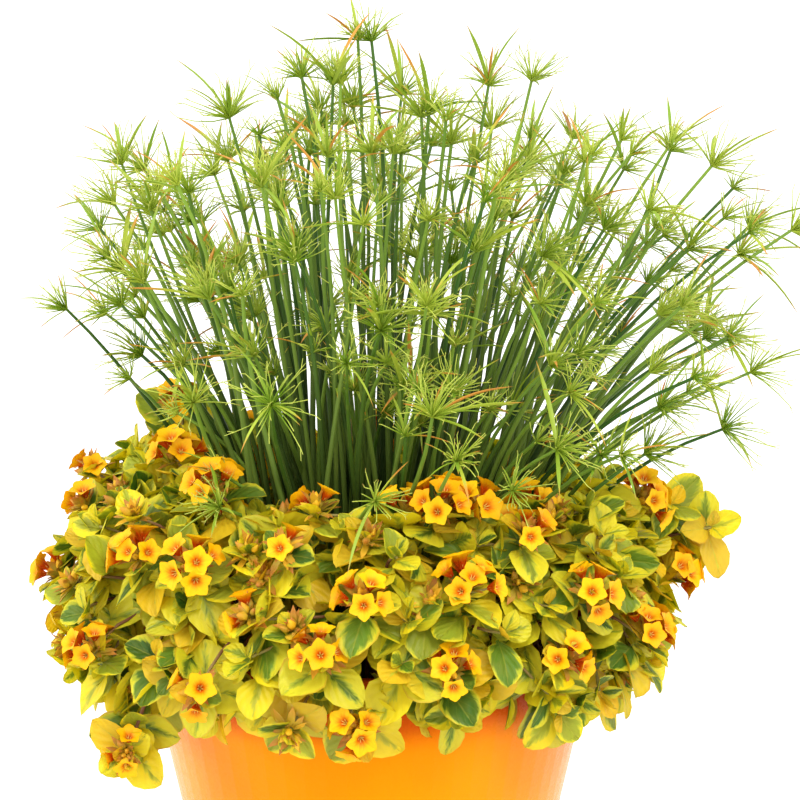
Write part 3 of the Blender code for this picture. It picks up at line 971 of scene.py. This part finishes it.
def make_loosestrife():
    """Leaves in four pieces, and the flowers, stamens, sepals, buds and stems as one piece each."""
    leaves, flowers, sepals, buds, stems = [], [], [], [], []
    for tip, out, count in shoot_tips():
        axis = shoot_axis(out)
        rosette(tip, axis, leaves, skip=1 if count else 0)
        if count or rng.random() < BUDDING_SHARE:
            flower_head(tip, axis, count, flowers, sepals, buds)
        line = stem_line(tip, axis)
        radii = np.linspace(STEM_FOOT, STEM_TOP, STEM_STATIONS)
        stems.append((line, radii, rng.uniform(0, 1), (0, 1)))
    for i, (head, anchor) in enumerate(LONG_SHOOTS):
        tip = Vector(head) / 1000 + Vector((0, 0, RIM_Z))
        root = Vector(anchor) / 1000 + Vector((0, 0, RIM_Z))
        stem = (tip - root).normalized()
        axis = (0.5 * stem + Vector((0, -0.9, 0.45))).normalized()
        for step in range(3):
            rosette(tip - step * (0.015 * stem + 0.005 * axis), axis, leaves, skip=min(step, 2))
        if i in FLOWERING_SHOOTS:
            flower_head(tip, axis, 3, flowers, sepals, buds)
        line = [root.lerp(tip, t) for t in np.linspace(0, 1, 5)]
        stems.append((line, [LONG_STEM] * len(line), 0.5, (0.3, 1)))
    for point, out in mound_samples(INNER_LEAVES):
        inward = point - out * rng.uniform(0.010, 0.034)
        turn = facing(shoot_axis(out), Vector((0, 0, 1))) @ jitter(50)
        length = LEAF_LENGTH * rng.uniform(0.7, 1.0)
        leaves.append((inward, turn, (length, length, length), leaf_tone(inner=True)))
    skin = leaf_skin()
    shapes = (
        leaf_shape("leaf_flat", 0.18, 0.08, 0.02),
        leaf_shape("leaf_folded", 0.42, 0.16, 0.03),
        leaf_shape("leaf_domed", -0.22, 0.06, 0.03),
        leaf_shape("leaf_drooping", 0.10, 0.28, 0.04),
    )
    pieces = [
        scattered(f"loosestrife_leaves_{i}", leaves[i - 1 :: len(shapes)], shape, skin)
        for i, shape in enumerate(shapes, 1)
    ]
    pieces.append(scattered("loosestrife_flowers", flowers, flower_shape(), petal_skin()))
    pieces.append(scattered("loosestrife_stamens", flowers, stamens_shape(), stamen_skin()))
    bud_paint = bud_skin()
    sepal = blade_shape("sepal", 0.30, 0.10, 0.4, 3)
    pieces.append(scattered("loosestrife_sepals", sepals, sepal, bud_paint))
    pieces.append(scattered("loosestrife_buds", buds, bud_shape(), bud_paint))
    pieces.append(rods("loosestrife_stems", stems, 5, stem_skin()))
    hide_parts(*PLANTS, *SHOOTS)
    return pieces


# --- pot, soil and stage --------------------------------------------------------------------------


def paint_cad_nodes():
    """Gives the solid pot and potting mix their finished materials."""
    for name, material in (("pot", glaze()), ("potting_soil", earth())):
        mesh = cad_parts[name].data
        mesh.materials.clear()
        mesh.materials.append(material)


def make_stage():
    """A round white floor, just larger than the planting and its soft shadow."""
    bpy.ops.mesh.primitive_circle_add(vertices=96, radius=FLOOR_RADIUS, fill_type="NGON")
    floor = bpy.context.object
    floor.name = "floor"
    paint = bpy.data.materials.new("white_floor")
    paint.use_nodes = True
    shader = paint.node_tree.nodes["Principled BSDF"]
    shader.inputs["Base Color"].default_value = FLOOR_COLOUR
    shader.inputs["Roughness"].default_value = 0.9
    floor.data.materials.append(paint)


def make_light():
    """A white studio all round, with a soft key lamp and a weaker fill lamp."""
    world = bpy.data.worlds.new("white_studio")
    bpy.context.scene.world = world
    world.use_nodes = True
    background = world.node_tree.nodes["Background"]
    background.inputs["Color"].default_value = (1, 1, 1, 1)
    background.inputs["Strength"].default_value = SKY_STRENGTH
    for name, place, energy in LAMPS:
        lamp = bpy.data.lights.new(name, "AREA")
        lamp.shape = "DISK"
        lamp.size = LAMP_SIZE
        lamp.energy = energy
        holder = bpy.data.objects.new(name, lamp)
        holder.location = place
        aim = Vector(LAMP_AIM) - holder.location
        holder.rotation_euler = aim.to_track_quat("-Z", "Y").to_euler()
        bpy.context.scene.collection.objects.link(holder)


def make_camera():
    """Looks a little down at the planting, close enough that the frame cuts the pot's foot."""
    camera = bpy.data.cameras.new("camera")
    camera.lens = camera.sensor_width * CAMERA_DISTANCE / VIEW_WIDTH
    holder = bpy.data.objects.new("camera", camera)
    tilt = math.radians(CAMERA_ELEVATION)
    aim = Vector((VIEW_RIGHT, 0, RIM_Z + VIEW_ABOVE_RIM))
    holder.location = aim + CAMERA_DISTANCE * Vector((0, -math.cos(tilt), math.sin(tilt)))
    holder.rotation_euler = (math.pi / 2 - tilt, 0, 0)
    bpy.context.scene.collection.objects.link(holder)
    bpy.context.scene.camera = holder


ROD_TREE = rod_tree()
SCATTER_TREE = scatter_tree()
paint_cad_nodes()
for piece in make_papyrus() + make_loosestrife():
    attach(piece, "root")
make_stage()
make_light()
make_camera()
bpy.context.scene.view_settings.view_transform = "Standard"
